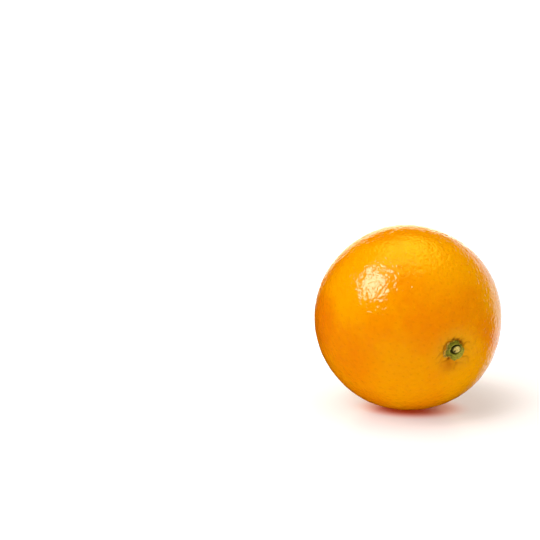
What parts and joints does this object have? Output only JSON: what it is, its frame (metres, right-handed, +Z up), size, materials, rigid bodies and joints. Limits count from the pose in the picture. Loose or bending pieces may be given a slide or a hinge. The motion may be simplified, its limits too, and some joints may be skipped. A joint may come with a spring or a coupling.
{
  "type": "orange",
  "caption": "Whole fresh orange with dimpled peel, a green five-lobed button and a cut stalk end, resting on a small flat spot.",
  "frame": {"origin": "centre of the small flat spot that the fruit rests on", "axes": "+Z up from the resting surface; the stem end with the green button faces -Y and dips 8.3 degrees below the horizontal; +X to the right seen from -Y"},
  "size_m": [0.075, 0.0743, 0.0741],
  "materials": {
    "peel": "waxy dimpled orange peel, satin",
    "calyx_green": "dry green calyx with tan lobe margins, matt",
    "cut_stalk": "pale cut pith, matt"
  },
  "bodies": {
    "root": {"fruit": "peel", "calyx": "calyx_green", "stem_stub": "cut_stalk"}
  },
  "joints": []
}
